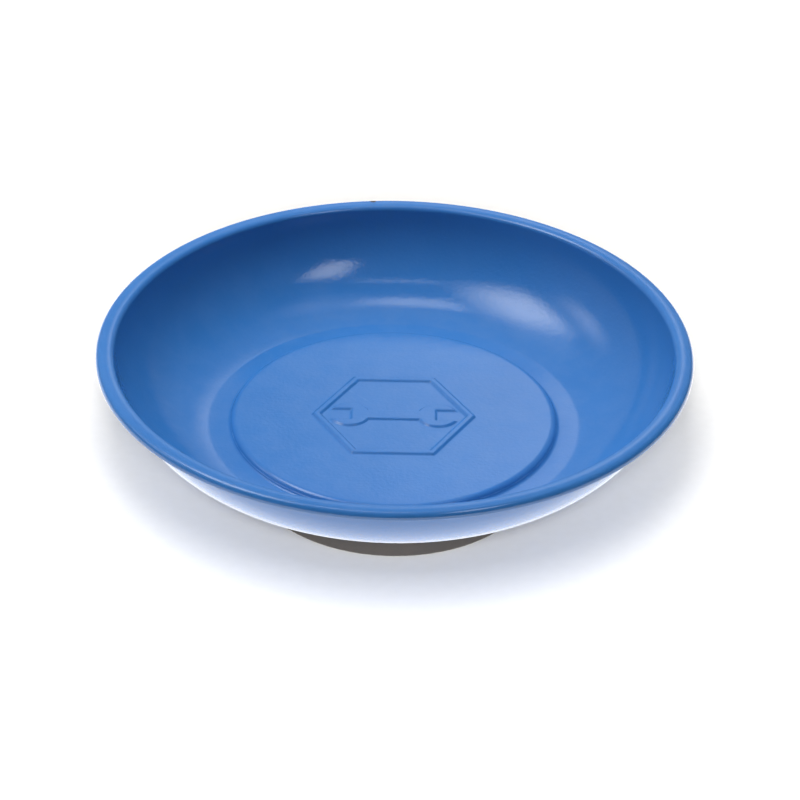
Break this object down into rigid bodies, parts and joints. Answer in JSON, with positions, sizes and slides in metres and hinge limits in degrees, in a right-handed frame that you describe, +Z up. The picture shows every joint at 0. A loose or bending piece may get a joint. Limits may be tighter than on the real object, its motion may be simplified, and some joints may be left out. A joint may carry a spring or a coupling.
{
  "type": "magnetic parts bowl",
  "caption": "Round enamelled steel bowl with a raised embossed floor and a flanged rim, standing on a ring magnet in a rubber boot, for sorting small steel parts.",
  "frame": {"origin": "centre of the boot's flat resting face, on the bowl's axis", "axes": "+Z up along the bowl's axis, out of its mouth; +X along the embossed spanner, +Y away from the viewer who looks into the bowl from the front"},
  "size_m": [0.16, 0.16, 0.0423],
  "materials": {
    "enamel": "glossy baked blue enamel on pressed steel",
    "stud_steel": "plain turned steel",
    "foam": "dense closed-cell foam",
    "ferrite": "dull dark grey sintered ferrite",
    "cup_aluminium": "pressed aluminium, satin",
    "zinc_plate": "bright zinc plate",
    "nylon": "natural nylon",
    "boot_rubber": "matte dark warm-grey moulded rubber"
  },
  "bodies": {
    "root": {"bowl": "enamel", "weld_stud": "stud_steel", "pad_ring": "foam", "ring_magnet": "ferrite", "clamp_cup": "cup_aluminium", "flat_washer": "zinc_plate", "lock_nut": "zinc_plate", "nut_insert": "nylon", "rubber_boot": "boot_rubber"}
  },
  "joints": []
}
